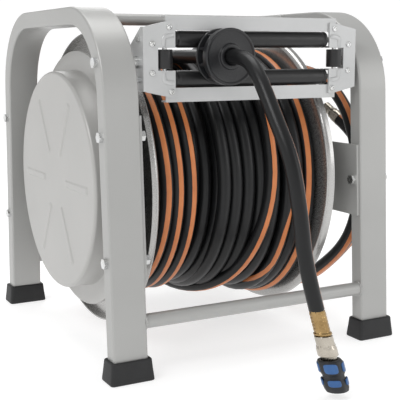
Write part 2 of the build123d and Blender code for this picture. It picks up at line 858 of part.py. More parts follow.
side_axle_half = side_window + tab_thickness + side_axle_overhang
with BuildPart() as side_roller_axles:
    with BuildSketch(Plane.XY.offset(guide_centre_z - side_axle_half)):
        with Locations((-side_roller_x, side_roller_y), (side_roller_x, side_roller_y)):
            Circle(side_axle_radius)
    extrude(amount=2 * side_axle_half)
finish(side_roller_axles, "side_roller_axles")

# ---------------------------------------------------------------- water swivel
port_direction = Vector(0, 1, 0)
port_centre = Vector(swivel_x + port_from_face, 0, axle_z)
port_plane = Plane(origin=port_centre, x_dir=(1, 0, 0), z_dir=port_direction)
seal_left = swivel_x + seal_offset
seal_right = seal_left + seal_width
with BuildPart() as swivel_body:
    turn(
        [
            (swivel_x, shaft_diameter / 2 + running_fit),
            (swivel_x, swivel_radius),
            (swivel_x + swivel_length, swivel_radius),
            (swivel_x + swivel_length, 0),
            (shaft_right + shaft_end_gap, 0),
            (shaft_right + shaft_end_gap, shaft_diameter / 2 + running_fit),
        ]
    )
    with BuildSketch(port_plane.offset(shaft_diameter / 2 + port_wall)):
        Circle(port_radius)
    extrude(amount=port_length - shaft_diameter / 2 - port_wall)
    with BuildSketch(port_plane.offset(shaft_diameter / 2)):
        Circle(port_bore)
    extrude(amount=port_length, mode=Mode.SUBTRACT)
    turn(
        [
            (seal_left, shaft_diameter / 2 - 1),
            (seal_left, seal_radius),
            (seal_right, seal_radius),
            (seal_right, shaft_diameter / 2 - 1),
        ],
        mode=Mode.SUBTRACT,
    )
finish(swivel_body, "swivel_body")

with BuildPart() as swivel_seal:
    turn(
        [
            (seal_left, shaft_diameter / 2 + running_fit),
            (seal_left, seal_radius),
            (seal_right, seal_radius),
            (seal_right, shaft_diameter / 2 + running_fit),
        ]
    )
finish(swivel_seal, "swivel_seal")


# ---------------------------------------------------------------- hoses
def along(origin, direction):
    """Plane through origin whose Y runs along direction, with its axis, to turn pieces on."""
    side_ways = direction.cross(Vector(0, 0, 1))
    if side_ways.length < 0.1:
        side_ways = Vector(1, 0, 0)
    side_ways = side_ways.normalized()
    normal = side_ways.cross(direction)
    return Plane(origin=origin, x_dir=side_ways, z_dir=normal), Axis(origin, direction)


def hose_route(name, points):
    """Straight runs joined by tangent arcs, each as large as its two runs allow."""
    places = [Vector(*p) for p in points]
    runs = [b - a for a, b in zip(places, places[1:])]
    radii = []
    for before, after in zip(runs, runs[1:]):
        half_turn = math.radians(before.get_angle(after)) / 2
        radii.append(0.45 * min(before.length, after.length) / math.tan(half_turn))
    print(name, "radii", [round(r) for r in radii])
    return radii


def report_tube(name, builder, length):
    """Print how the tube's volume compares with its section times its length."""
    expected = math.pi * (hose_diameter / 2) ** 2 * length
    print(name, "length", round(length), "volume ratio", round(builder.part.volume / expected, 4))


pack_left = drum_left + pack_side_gap
pack_right = drum_right - pack_side_gap
pack_groove_left = lead_x - groove_left_of_lead
pack_groove_right = lead_x + groove_right_of_lead
pack_groove_radius = lead_z - axle_z - hose_diameter / 2 - groove_gap
with BuildPart() as hose_pack:
    turn(
        [
            (pack_left, core_radius),
            (pack_left, pack_radius),
            (pack_groove_left, pack_radius),
            (pack_groove_left, pack_groove_radius),
            (pack_groove_right, pack_groove_radius),
            (pack_groove_right, pack_radius),
            (pack_right, pack_radius),
            (pack_right, core_radius),
        ]
    )
    with BuildSketch(Plane.YZ.offset(slack_left)):
        with Locations((0, axle_z - slack_sag)):
            Circle(slack_radius)
        with Locations((0, axle_z)):
            Circle(core_radius, mode=Mode.SUBTRACT)
    extrude(amount=pack_right - slack_left)
finish(hose_pack, "hose_pack")

with BuildPart() as lead_hose:
    with BuildSketch(Plane.XZ):
        with Locations((lead_x, lead_z)):
            Circle(hose_diameter / 2)
    extrude(amount=-stopper_joint)
finish(lead_hose, "lead_hose")

hanging_points = [
    (lead_x, stopper_joint, lead_z),
    (lead_x, -288, lead_z),
    (-58, -322, 408),
    (-56.5, -360, 354),
    (-51, -389, 306),
    (-46, -401, 241),
    (-39, -403.5, 175.5),
    (-24, -408.3, 117.4),
]
supply_points = [
    (199, 44, 246),
    (199, 96, 246),
    (199, 143.6, 218.5),
    (199, 171, 171),
    (199, 171.2, 116),
    (199.5, 143.6, 68),
    (200, 96, 41),
    (200, 38, 40),
    (200.5, -40, 46),
    (201, -108, 86),
    (203, -167, 134),
    (205.5, -193, 190),
    (206, -193, 248),
    (205.5, -182, 304),
    (205.5, -151, 361),
    (206, -78, 403),
    (208, 20, 410),
    (211, 108, 362),
    (215, 162, 280),
    (220, 168, 185),
    (222, 124, 100),
    (223, 52, 50),
    (225, -28, 44),
    (227, -105, 98),
    (228, -178, 168),
    (228, -194, 218),
    (228, -184, 268),
    (228, -152, 308),
    (228, -112, 328),
]


def hose_tube(builder_name, points):
    """Solid hose along a route."""
    radii = hose_route(builder_name, points)
    with BuildPart(mode=Mode.PRIVATE) as tube:
        with BuildLine() as path:
            FilletPolyline(*points, radius=radii)
        start = path.wires()[0]
        with BuildSketch(Plane(origin=start @ 0, z_dir=start % 0)):
            Circle(hose_diameter / 2)
        sweep(path=start)
    report_tube(builder_name, tube, start.length)
    return tube.part


for tube_name, tube_points in (("hanging_hose", hanging_points), ("supply_hose", supply_points)):
    with BuildPart() as tube:
        add(hose_tube(tube_name, tube_points))
    finish(tube, tube_name)

# Two-part stopper clamped on the hose, resting against the rollers
stopper_plane, stopper_axis = along(Vector(lead_x, 0, lead_z), Vector(0, -1, 0))
grip = hose_diameter / 2
with BuildPart() as stopper_rear:
    turn(
        [
            (grip, -stopper_back),
            (stopper_radius, -stopper_back),
            (stopper_radius, -rear_disc),
            (stopper_hub_radius, -rear_disc),
            (stopper_hub_radius, -stopper_joint),
            (grip, -stopper_joint),
        ],
        stopper_plane,
        stopper_axis,
    )
finish(stopper_rear, "stopper_rear")

with BuildPart() as stopper_front:
    turn(
        [
            (grip, -stopper_joint),
            (stopper_hub_radius, -stopper_joint),
            (stopper_hub_radius, -front_disc),
            (stopper_radius, -front_disc),
            (stopper_radius, -stopper_front_y - stopper_bevel),
            (stopper_radius - stopper_bevel, -stopper_front_y),
            (collar_radius + collar_groove, -stopper_front_y),
            (collar_radius + collar_groove, -stopper_front_y - collar_groove),
            (collar_radius, -stopper_front_y - collar_groove),
            (collar_radius, -stopper_front_y + collar_length),
            (grip, -stopper_front_y + collar_length),
        ],
        stopper_plane,
        stopper_axis,
    )
finish(stopper_front, "stopper_front")

# Ferrule and quick coupling on the end of the hanging hose
hose_end = Vector(*hanging_points[-1])
end_direction = (hose_end - Vector(*hanging_points[-2])).normalized()
coupling_plane, coupling_axis = along(hose_end, end_direction)
body_start = ferrule_length
sleeve_start = body_start + coupling_body_length
coupling_end = sleeve_start + sleeve_length
ferrule_radius = grip + crimp_grip
rim_radius = ferrule_radius + 2 * ferrule_swell
with BuildPart() as ferrule:
    turn(
        [
            (0, 0),
            (ferrule_radius, 0),
            (ferrule_radius + ferrule_swell, ferrule_length - ferrule_rim),
            (rim_radius, ferrule_length - ferrule_rim),
            (rim_radius, ferrule_length),
            (0, ferrule_length),
        ],
        coupling_plane,
        coupling_axis,
    )
finish(ferrule, "hose_ferrule")

collar_end = sleeve_start - sleeve_travel - sleeve_clearance
core_end = coupling_end - nose_bevel
bore_start = core_end - coupling_bore_depth + nose_bevel
with BuildPart() as coupling_body:
    turn(
        [
            (0, body_start),
            (coupling_radius, body_start),
            (coupling_radius, body_start + coupling_collar_start - sleeve_travel),
            (coupling_collar_radius, body_start + coupling_collar_start),
            (coupling_collar_radius, collar_end),
            (coupling_core_radius, collar_end),
            (coupling_core_radius, core_end),
            (coupling_bore, core_end),
            (coupling_bore, bore_start),
            (0, bore_start),
        ],
        coupling_plane,
        coupling_axis,
    )
finish(coupling_body, "coupling_body")

seal_start = sleeve_start + coupling_seal_offset
with BuildPart() as coupling_seal:
    turn(
        [
            (coupling_seal_radius, seal_start),
            (coupling_bore, seal_start),
            (coupling_bore, seal_start + coupling_seal_width),
            (coupling_seal_radius, seal_start + coupling_seal_width),
        ],
        coupling_plane,
        coupling_axis,
    )
finish(coupling_seal, "coupling_seal")

sleeve_bore = coupling_core_radius + running_fit
with BuildPart() as coupling_sleeve:
    turn(
        [
            (sleeve_bore, sleeve_start),
            (lobe_radius - lobe_bevel, sleeve_start),
            (lobe_radius, sleeve_start + rear_lobe[0]),
            (lobe_radius, sleeve_start + rear_lobe[1]),
            (waist_radius, sleeve_start + waist[0]),
            (waist_radius, sleeve_start + waist[1]),
            (lobe_radius, sleeve_start + front_lobe[0]),
            (lobe_radius, sleeve_start + front_lobe[1]),
            (lobe_radius - nose_bevel, coupling_end),
            (sleeve_bore, coupling_end),
        ],
        coupling_plane,
        coupling_axis,
    )
finish(coupling_sleeve, "coupling_sleeve")

# Fittings of the supply hose
supply_start = Vector(*supply_points[0])
start_plane, start_axis = along(supply_start, -port_direction)
tail_radius = grip + tail_grip
with BuildPart() as supply_tail:
    turn(
        [(0, 0), (tail_radius, 0), (tail_radius, tail_length), (0, tail_length)],
        start_plane,
        start_axis,
    )
finish(supply_tail, "supply_tail")

supply_end = Vector(*supply_points[-1])
supply_direction = (supply_end - Vector(*supply_points[-2])).normalized()
fitting_plane, fitting_axis = along(supply_end, supply_direction)
with BuildPart() as supply_fitting:
    turn(
        [
            (0, 0),
            (grip + fitting_grip, 0),
            (grip + fitting_grip, fitting_sleeve),
            (fitting_neck_radius, fitting_barb[0]),
            (fitting_neck_radius, fitting_barb[1]),
            (fitting_barb_radius, fitting_barb[2]),
            (fitting_neck_radius, fitting_barb[3]),
            (fitting_neck_radius, fitting_length),
            (fitting_bore, fitting_length),
            (fitting_bore, fitting_length - fitting_bore_depth),
            (0, fitting_length - fitting_bore_depth),
        ],
        fitting_plane,
        fitting_axis,
    )
finish(supply_fitting, "supply_fitting")
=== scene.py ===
import json
import math
import random

import bmesh
import bpy
from mathutils import Matrix, Vector


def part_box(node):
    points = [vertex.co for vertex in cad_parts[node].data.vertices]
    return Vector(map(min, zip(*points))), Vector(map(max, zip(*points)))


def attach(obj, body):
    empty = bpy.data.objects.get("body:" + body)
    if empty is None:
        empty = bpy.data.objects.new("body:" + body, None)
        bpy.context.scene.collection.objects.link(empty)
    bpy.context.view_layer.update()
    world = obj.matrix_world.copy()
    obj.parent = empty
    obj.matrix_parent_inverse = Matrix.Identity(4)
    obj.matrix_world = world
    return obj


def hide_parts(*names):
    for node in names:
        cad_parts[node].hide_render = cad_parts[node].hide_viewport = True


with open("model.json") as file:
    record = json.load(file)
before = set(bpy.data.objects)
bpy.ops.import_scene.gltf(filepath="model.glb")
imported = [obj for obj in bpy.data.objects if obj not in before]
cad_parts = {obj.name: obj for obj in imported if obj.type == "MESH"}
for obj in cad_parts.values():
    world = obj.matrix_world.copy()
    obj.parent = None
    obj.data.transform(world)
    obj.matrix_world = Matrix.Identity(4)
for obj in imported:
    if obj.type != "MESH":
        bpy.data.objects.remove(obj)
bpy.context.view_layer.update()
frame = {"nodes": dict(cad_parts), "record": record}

MM = 0.001
random.seed(11)

# ---------------------------------------------------------------- sizes shared with the CAD model, mm
AXLE_Z = 246.0
INNER_X = 180.0
HOSE_RADIUS = 10.0
LEAD_X = -57.0
LEAD_Z = 431.0
SLOT_Z = 428.0
STOPPER_MIDDLE = 228.75
BAR_Y = 228.9
BAR_Z = 78
BAR_RADIUS = 10
TOP_BAR_Z = 487.5
TOP_BAR_RADIUS = 9
TUBE_HALF_DEPTH = 25.3
TUBE_HALF_WIDTH = 12.8


# ---------------------------------------------------------------- camera, light and floor
def look_from(place, back, roll, lens):
    """Camera at place whose back points along back."""
    back = Vector(back).normalized()
    right = Vector((0, 0, 1)).cross(back).normalized()
    up = back.cross(right)
    turn = Matrix.Rotation(roll, 3, back)
    right, up = turn @ right, turn @ up
    data = bpy.data.cameras.new("camera")
    data.lens = lens
    data.sensor_width = 36
    camera = bpy.data.objects.new("camera", data)
    camera.matrix_world = Matrix(
        (
            (right.x, up.x, back.x, place[0]),
            (right.y, up.y, back.y, place[1]),
            (right.z, up.z, back.z, place[2]),
            (0, 0, 0, 1),
        )
    )
    bpy.context.collection.objects.link(camera)
    bpy.context.scene.camera = camera


AZIMUTH = math.radians(-28.0488)
ELEVATION = math.radians(9.2007)
ROLL = math.radians(-0.206)
LENS = 81.27
CAMERA_PLACE = (-0.667451, -1.305790, 0.435067)
look_from(
    CAMERA_PLACE,
    (
        math.sin(AZIMUTH) * math.cos(ELEVATION),
        -math.cos(AZIMUTH) * math.cos(ELEVATION),
        math.sin(ELEVATION),
    ),
    ROLL,
    LENS,
)


def area_light(name, place, target, size, power, tint=(1, 1, 1)):
    """Soft square light aimed at target."""
    data = bpy.data.lights.new(name, "AREA")
    data.shape = "RECTANGLE"
    data.size, data.size_y = size
    data.energy = power
    data.color = tint
    lamp = bpy.data.objects.new(name, data)
    lamp.location = place
    lamp.rotation_euler = (Vector(target) - Vector(place)).to_track_quat("-Z", "Y").to_euler()
    bpy.context.collection.objects.link(lamp)


MIDDLE = (0, 0, 0.25)
area_light("key_light", (-2.0, -1.2, 2.3), MIDDLE, (1.3, 1.0), 28)
area_light("fill_light", (1.9, -2.1, 1.2), MIDDLE, (1.0, 1.4), 8)
area_light("top_light", (0.1, 0.3, 2.6), MIDDLE, (1.8, 1.4), 24)
area_light("rim_light", (0.8, 2.4, 1.5), MIDDLE, (1.6, 1.0), 12)

world = bpy.data.worlds.new("studio")
world.use_nodes = True
world.node_tree.nodes["Background"].inputs["Color"].default_value = (1, 1, 1, 1)
world.node_tree.nodes["Background"].inputs["Strength"].default_value = 0.5
bpy.context.scene.world = world
bpy.context.scene.view_settings.view_transform = "Standard"


# ---------------------------------------------------------------- materials
def link(tree, source, output, target, socket):
    """Joins one node's output to another's input."""
    tree.links.new(source.outputs[output], target.inputs[socket])


def noise(tree, coords, scale, detail, stretch=(1, 1, 1)):
    """Noise in object space, stretched along the axes."""
    mapping = tree.nodes.new("ShaderNodeMapping")
    mapping.inputs["Scale"].default_value = stretch
    link(tree, coords, "Object", mapping, "Vector")
    texture = tree.nodes.new("ShaderNodeTexNoise")
    texture.inputs["Scale"].default_value = scale
    texture.inputs["Detail"].default_value = detail
    link(tree, mapping, "Vector", texture, "Vector")
    return texture


def spread(tree, texture, low, high):
    """A noise's middle range mapped to low..high."""
    mapped = tree.nodes.new("ShaderNodeMapRange")
    mapped.inputs["From Min"].default_value = 0.3
    mapped.inputs["From Max"].default_value = 0.7
    mapped.inputs["To Min"].default_value = low
    mapped.inputs["To Max"].default_value = high
    link(tree, texture, "Fac", mapped, "Value")
    return mapped


def surface(
    name,
    colour,
    second,
    rough,
    metallic=0.0,
    patch=9.0,
    grain=700.0,
    bump=0.08,
    stretch=(1, 1, 1),
    specular=0.5,
    glow=0.0,
):
    """Uneven colour between two tones, uneven gloss and a fine grain. rough holds the lowest and
    highest roughness, patch and grain the scales of the colour's and the grain's noise."""
    made = bpy.data.materials.new(name)
    made.use_nodes = True
    tree = made.node_tree
    shader = tree.nodes["Principled BSDF"]
    shader.inputs["Metallic"].default_value = metallic
    shader.inputs["Specular IOR Level"].default_value = specular
    shader.inputs["Emission Color"].default_value = (1, 1, 1, 1)
    shader.inputs["Emission Strength"].default_value = glow
    coords = tree.nodes.new("ShaderNodeTexCoord")
    patches = noise(tree, coords, patch, 5, stretch)
    grains = noise(tree, coords, grain, 2, stretch)
    blend = tree.nodes.new("ShaderNodeMix")
    blend.data_type = "RGBA"
    blend.inputs["A"].default_value = (*colour, 1)
    blend.inputs["B"].default_value = (*second, 1)
    link(tree, spread(tree, patches, 0, 1), "Result", blend, "Factor")
    link(tree, blend, "Result", shader, "Base Color")
    gloss = spread(tree, grains, rough[0], rough[1])
    link(tree, gloss, "Result", shader, "Roughness")
    relief = tree.nodes.new("ShaderNodeBump")
    relief.inputs["Strength"].default_value = bump
    relief.inputs["Distance"].default_value = 0.0004
    link(tree, grains, "Fac", relief, "Height")
    link(tree, relief, "Normal", shader, "Normal")
    return made


FINISHES = {
    "frame_paint": surface(
        "frame_paint", (0.415, 0.415, 0.405), (0.385, 0.385, 0.375), (0.34, 0.46), 0.3, 6, 1500, 0.06
    ),
    "case_paint": surface(
        "case_paint", (0.45, 0.445, 0.432), (0.42, 0.417, 0.405), (0.34, 0.46), 0.2, 7, 1500, 0.06
    ),
    "drum_paint": surface(
        "drum_paint", (0.50, 0.495, 0.485), (0.43, 0.425, 0.415), (0.2, 0.32), 0.85, 8, 1200, 0.05
    ),
    "guide_sheet": surface(
        "guide_sheet", (0.53, 0.535, 0.535), (0.48, 0.485, 0.485), (0.3, 0.44), 0.35, 12, 1600, 0.05
    ),
    "zinc": surface(
        "zinc", (0.72, 0.73, 0.74), (0.60, 0.60, 0.58), (0.16, 0.32), 1.0, 60, 900, 0.05
    ),
    "steel": surface(
        "steel", (0.42, 0.42, 0.43), (0.34, 0.335, 0.33), (0.25, 0.45), 1.0, 30, 1100, 0.1,
        stretch=(1, 6, 6),
    ),
    "brass": surface(
        "brass", (0.44, 0.30, 0.14), (0.25, 0.16, 0.065), (0.16, 0.34), 1.0, 70, 900, 0.08
    ),
    "nickel": surface(
        "nickel", (0.54, 0.495, 0.43), (0.40, 0.365, 0.31), (0.16, 0.32), 1.0, 50, 900, 0.06
    ),
    "roller_plastic": surface(
        "roller_plastic", (0.008, 0.008, 0.0085), (0.013, 0.013, 0.0135), (0.3, 0.44), 0, 20, 800,
        0.12, stretch=(0.15, 1, 1),
    ),
    "stopper_rubber": surface(
        "stopper_rubber", (0.010, 0.0105, 0.012), (0.016, 0.0165, 0.018), (0.26, 0.4), 0, 25, 1300,
        0.1,
    ),
    "foot_rubber": surface(
        "foot_rubber", (0.007, 0.0072, 0.008), (0.012, 0.0123, 0.013), (0.48, 0.66), 0, 30, 1000,
        0.22,
    ),
    "hose_rubber": surface(
        "hose_rubber", (0.006, 0.0063, 0.0068), (0.009, 0.0093, 0.010), (0.28, 0.4), 0, 18, 1100,
        0.1, specular=0.32,
    ),
    "grip_plastic": surface(
        "grip_plastic", (0.005, 0.006, 0.008), (0.008, 0.0095, 0.013), (0.4, 0.52), 0, 60, 1500, 0.14
    ),
    "seal_rubber": surface(
        "seal_rubber", (0.015, 0.015, 0.015), (0.024, 0.024, 0.024), (0.45, 0.6), 0, 60, 1500, 0.1
    ),
}
ORANGE = surface(
    "hose_stripe", (0.60, 0.20, 0.062), (0.50, 0.155, 0.045), (0.36, 0.5), 0, 40, 1100, 0.1
)
BLUE = surface(
    "grip_insert", (0.020, 0.090, 0.26), (0.030, 0.115, 0.31), (0.34, 0.46), 0, 90, 1600, 0.1
)

for entry in frame["record"]["subparts"]:
    node = frame["nodes"][entry["node"]]
    node.data.materials.clear()
    node.data.materials.append(FINISHES[entry["material_slot"]])

floor_finish = surface(
    "floor", (0.45, 0.45, 0.45), (0.44, 0.44, 0.44), (0.6, 0.7), 0, 2, 60, 0.0, specular=0.2,
    glow=0.68,
)


# ---------------------------------------------------------------- mesh helpers
def mesh_piece(name, points, faces, materials, marks=None, sharp=32):
    """Object from points in mm, with outward normals and creases at sharp edges."""
    mesh = bpy.data.meshes.new(name)
    mesh.from_pydata([Vector(p) * MM for p in points], [], faces)
    work = bmesh.new()
    work.from_mesh(mesh)
    if marks:
        for face, mark in zip(work.faces, marks):
            face.material_index = mark
    bmesh.ops.recalc_face_normals(work, faces=work.faces)
    work.to_mesh(mesh)
    work.free()
    for material in materials:
        mesh.materials.append(material)
    for face in mesh.polygons:
        face.use_smooth = True
    mesh.set_sharp_from_angle(angle=math.radians(sharp))
    made = bpy.data.objects.new(name, mesh)
    bpy.context.collection.objects.link(made)
    return made


def belongs(piece, body, slot, *nodes):
    """Rides piece on a body and hides the CAD nodes it stands for. The slot argument is not used."""
    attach(piece, body)
    if nodes:
        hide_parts(*nodes)
    return piece


def soften(corners, size, steps=4, closed=False):
    """Outline with each corner rounded by up to size."""
    count = len(corners)
    ends = [] if closed else [0, count - 1]
    outline = []
    for i, corner in enumerate(corners):
        here = Vector(corner)
        if i in ends:
            outline.append(here)
            continue
        before = Vector(corners[i - 1]) - here
        after = Vector(corners[(i + 1) % count]) - here
        cut = min(size, 0.45 * before.length, 0.45 * after.length)
        start = here + before.normalized() * cut
        stop = here + after.normalized() * cut
        for k in range(steps + 1):
            t = k / steps
            outline.append((1 - t) ** 2 * start + 2 * t * (1 - t) * here + t**2 * stop)
    return outline


class Shape:
    """Points and faces of one or several closed forms."""

    def __init__(self):
        self.points = []
        self.faces = []
        self.marks = []

    def ring(self, points):
        first = len(self.points)
        self.points.extend(points)
        return list(range(first, first + len(points)))

    def face(self, corners, mark=0):
        self.faces.append(corners)
        self.marks.append(mark)

    def bridge(self, a, b, mark=0):
        """Faces between two closed rings, or a ring and a single point."""
        count = max(len(a), len(b))
        for k in range(count):
            n = (k + 1) % count
            if len(a) == 1:
                self.face([a[0], b[k], b[n]], mark)
            elif len(b) == 1:
                self.face([a[k], a[n], b[0]], mark)
            else:
                self.face([a[k], a[n], b[n], b[k]], mark)

    def build(self, name, materials, sharp=32):
        return mesh_piece(name, self.points, self.faces, materials, self.marks, sharp)


def frame_along(direction):
    """Two directions square to direction."""
    direction = Vector(direction).normalized()
    side = Vector((0, 0, 1)).cross(direction)
    if side.length < 0.3:
        side = Vector((1, 0, 0))
    side.normalize()
    return direction, side, direction.cross(side)


def lathe(shape, profile, origin, direction, segments=72, closed=True, form=None):
    """Adds a turned form to shape. profile holds (radius, distance along direction)."""
    axis, side, up = frame_along(direction)
    origin = Vector(origin)
    rings = []
    for radius, along in profile:
        if radius < 1e-4:
            rings.append(shape.ring([origin + axis * along]))
            continue
        points = []
        for k in range(segments):
            angle = 2 * math.pi * k / segments
            local = radius if form is None else radius + form(angle, along, radius)
            ray = side * math.cos(angle) + up * math.sin(angle)
            points.append(origin + axis * along + ray * local)
        rings.append(shape.ring(points))
    pairs = list(zip(rings, rings[1:]))
    if closed:
        pairs.append((rings[-1], rings[0]))
    for a, b in pairs:
        if len(a) > 1 or len(b) > 1:
            shape.bridge(a, b)


def turned(name, profile, origin, direction, materials, segments=72, closed=True, form=None):
    """One turned piece."""
    shape = Shape()
    lathe(shape, profile, origin, direction, segments, closed, form)
    return shape.build(name, materials)


def block(shape, centre, axes, sizes, bevel=0.6):
    """Adds a bar with rounded long edges: axes are its three directions, sizes its full sizes."""
    across, along, up = (Vector(a).normalized() for a in axes)
    half_a, half_u = sizes[0] / 2, sizes[2] / 2
    corners = [(-half_a, -half_u), (half_a, -half_u), (half_a, half_u), (-half_a, half_u)]
    rings = []
    for end, inset in ((-0.5, bevel), (-0.5, 0), (0.5, 0), (0.5, bevel)):
        distance = end * sizes[1] - math.copysign(bevel - inset, end)
        outline = soften([Vector(c) for c in corners], bevel * 1.5, 3, closed=True)
        points = []
        for p in outline:
            a = p.x - math.copysign(inset, p.x)
            u = p.y - math.copysign(inset, p.y)
            points.append(Vector(centre) + across * a + up * u + along * distance)
        rings.append(shape.ring(points))
    for a, b in zip(rings, rings[1:]):
        shape.bridge(a, b)
    shape.face(rings[0][::-1])
    shape.face(rings[-1])


# ---------------------------------------------------------------- hoses
def smooth_line(points, detail):
    """Points along the NURBS spline whose control points are given in metres."""
    curve = bpy.data.curves.new("route", "CURVE")
    curve.dimensions = "3D"
    spline = curve.splines.new("NURBS")
    spline.points.add(len(points) - 1)
    for slot, point in zip(spline.points, points):
        slot.co = (*point, 1)
    spline.order_u = 3
    spline.use_endpoint_u = True
    spline.resolution_u = detail
    holder = bpy.data.objects.new("route", curve)
    bpy.context.collection.objects.link(holder)
    mesh = bpy.data.meshes.new_from_object(holder)
    line = [v.co.copy() for v in mesh.vertices]
    bpy.data.objects.remove(holder)
    bpy.data.meshes.remove(mesh)
    return line


HOSE_SEGMENTS = 24
STRIPE_SEGMENTS = 3


def hose(name, line, outward, stripe):
    """Round hose along line. outward(point) is a direction away from the bend's middle, and
    stripe(share) the turn from it to the orange stripe, in degrees, at a share of the length."""
    shape = Shape()
    rings = []
    last = len(line) - 1
    for i, here in enumerate(line):
        along = (line[min(i + 1, last)] - line[max(i - 1, 0)]).normalized()
        away = outward(here)
        away = (away - along * along.dot(away)).normalized()
        across = along.cross(away)
        start = math.radians(stripe(i / last)) - math.pi * STRIPE_SEGMENTS / HOSE_SEGMENTS
        points = []
        for k in range(HOSE_SEGMENTS):
            angle = start + 2 * math.pi * k / HOSE_SEGMENTS
            ray = away * math.cos(angle) + across * math.sin(angle)
            points.append(here / MM + ray * HOSE_RADIUS)
        rings.append(shape.ring(points))
    for a, b in zip(rings, rings[1:]):
        for k in range(HOSE_SEGMENTS):
            n = (k + 1) % HOSE_SEGMENTS
            shape.face([a[k], a[n], b[n], b[k]], 1 if k < STRIPE_SEGMENTS else 0)
    shape.face(rings[0][::-1])
    shape.face(rings[-1])
    return shape.build(name, [FINISHES["hose_rubber"], ORANGE], sharp=60)


def between(keys, at, column):
    """Value of a column of keys, whose first column is a position, straight between keys."""
    for a, b in zip(keys, keys[1:]):
        if at <= b[0]:
            share = (at - a[0]) / (b[0] - a[0])
            return a[column] + share * (b[column] - a[column])
    return keys[-1][column]


# The wound hose: turns counted from the top, place along the drum, distance from the axle, how far
# its lower half sags, and where its stripe faces in degrees: 0 is outwards, positive towards the
# housing. At 30.1 turns 190 becomes -170, the same place counted the other way round.
WINDING = [
    (0.0, -138, 152, 0, 180),
    (12.0, 111, 152, 0, 180),
    (12.6, 103, 169.5, 0, 180),
    (19.8, -42, 169.5, 0, 180),
    (20.0, -47, 164, 0, 180),
    (21.2, -68, 164, 0, 180),
    (21.5, -90, 166, 0, 120),
    (22.0, -129, 178, -8, 20),
    (22.25, -122, 186, -16, 5),
    (22.5, -126, 185, -16, 0),
    (23.25, -105, 186, -16, -4),
    (24.25, -84.5, 186, -16, -8),
    (24.5, -80, 186, -15, -8),
    (24.66, -36, 187, -12, 40),
    (25.25, -31, 186, -11, 165),
    (26.25, -11, 185, -7, 180),
    (27.25, 10, 186, -6, 180),
    (28.25, 31, 185, -6, 180),
    (29.25, 53, 186, -4, 190),
    (30.1, 73, 187, 1, 190),
    (30.101, 73, 187, 1, -170),
    (30.19, 75, 187, 3, -165),
    (30.31, 77, 188, 6, 5),
    (30.37, 78, 188, 7, 20),
    (30.48, 79, 188, 7, 185),
    (30.8, 84, 188, 7, 180),
    (30.92, 87, 188, 7, 30),
    (31.05, 89, 188, 7, 40),
    (31.18, 92, 188, 7, 180),
    (31.5, 97, 188, 8, 190),
    (31.76, 105, 188, 8, 180),
    (31.9, 110, 188, 8, 20),
    (32.0, 112, 188, 8, 0),
    (32.1, 113, 188, 8, 10),
    (32.3, 113, 189, 9, 30),
    (32.45, 113, 191, 10, 30),
    (32.7, 90, 200, 0, 0),
    (33.0, 48, 200, 0, 0),
    (33.25, 42, 199, 0, 2),
    (33.36, 24, 195, 0, 4),
    (33.5, -24, 183, 0, 4),
    (33.6, -50, 175, 0, 30),
    (33.7, LEAD_X, 166, 0, 60),
    (33.9, LEAD_X, 166, 0, 60),
]
POINTS_PER_TURN = 16
LEAD_START_Y = 0.038
winding_points = []
for step in range(int(WINDING[-1][0] * POINTS_PER_TURN) + 1):
    turns = step / POINTS_PER_TURN
    angle = math.radians(90 + 360 * turns)
    sag = between(WINDING, turns, 3) * max(0, -math.sin(angle))
    radius = (between(WINDING, turns, 2) + sag) / math.cos(math.pi / POINTS_PER_TURN)
    wander = random.uniform(-0.7, 0.7)
    winding_points.append(
        (
            (between(WINDING, turns, 1) + wander) * MM,
            radius * math.cos(angle) * MM,
            (AXLE_Z + radius * math.sin(angle)) * MM,
        )
    )
winding_points.append((LEAD_X * MM, LEAD_START_Y, LEAD_Z * MM))
winding_points.append((LEAD_X * MM, 0, LEAD_Z * MM))
winding_line = smooth_line(winding_points, 4)


def winding_turns(share):
    """Turns wound at a share of the winding's line."""
    return (share * (len(winding_points) - 2) + 0.5) / POINTS_PER_TURN


wound_hose = hose(
    "wound_hose",
    winding_line,
    lambda p: Vector((0, p.y, p.z - AXLE_Z * MM)),
    lambda share: between(WINDING, winding_turns(share), 4),
)
belongs(wound_hose, "drum", "hose_rubber", "hose_pack")

delivery_points = [
    (-0.057, 0, 0.431),
    (-0.057, -0.114, 0.431),
    (-0.057, -0.22875, 0.431),
    (-0.057, -0.288, 0.431),
    (-0.058, -0.322, 0.408),
    (-0.0565, -0.360, 0.354),
    (-0.051, -0.389, 0.306),
    (-0.046, -0.401, 0.241),
    (-0.039, -0.4035, 0.1755),
    (-0.024, -0.4083, 0.1174),
]
delivery_line = smooth_line(delivery_points, 10)
EDGE_ON = Vector((0.883, -0.47, 0))
delivery_hose = hose(
    "delivery_hose",
    delivery_line,
    lambda p: EDGE_ON + Vector((0, 0, 0.02)),
    lambda share: 12 - 20 * share,
)
belongs(delivery_hose, "frame", "hose_rubber", "lead_hose", "hanging_hose")

